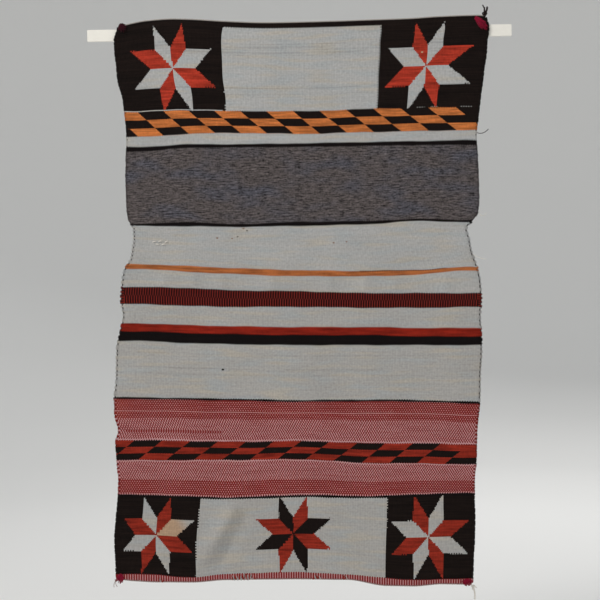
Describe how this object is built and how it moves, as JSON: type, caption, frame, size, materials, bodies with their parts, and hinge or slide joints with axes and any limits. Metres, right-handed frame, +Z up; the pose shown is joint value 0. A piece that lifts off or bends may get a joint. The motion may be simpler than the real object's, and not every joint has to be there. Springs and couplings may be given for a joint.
{
  "type": "navajo saddle blanket on a hanging slat",
  "caption": "Small woven wool saddle blanket that hangs flat in front of a plain wooden slat, with edge cords and short corner tassels.",
  "frame": {"origin": "centre of the slat's flat back face, which lies on the wall", "axes": "+Z up along the blanket's length, +X to the right of someone who faces it, +Y into the wall"},
  "size_m": [0.9142, 0.0192, 1.2866],
  "materials": {
    "woven_wool": "weft-faced wool weave with stripes, checks and eight-point stars",
    "light_cord": "twisted light grey wool cord",
    "pinkish_cord": "twisted pinkish grey wool cord",
    "dark_cord": "twisted dark brown wool cord",
    "maroon_yarn": "dark maroon wool yarn",
    "crimson_yarn": "crimson wool yarn",
    "white_yarn": "off-white wool yarn",
    "painted_wood": "thin white paint on a planed wooden slat"
  },
  "bodies": {
    "root": {"blanket": "woven_wool", "top_cord": "light_cord", "bottom_cord": "pinkish_cord", "left_cord": "dark_cord", "right_cord": "dark_cord", "tassel_top_left": "maroon_yarn", "tassel_top_right": "crimson_yarn", "tassel_bottom_left": "crimson_yarn", "tassel_bottom_right": "crimson_yarn", "cord_ends_top_right": "dark_cord", "thread_bottom_right": "white_yarn", "thread_bottom_left": "pinkish_cord", "loose_end_dark": "dark_cord", "loose_end_white_upper": "white_yarn", "loose_end_white_lower": "white_yarn", "slat": "painted_wood"}
  },
  "joints": []
}
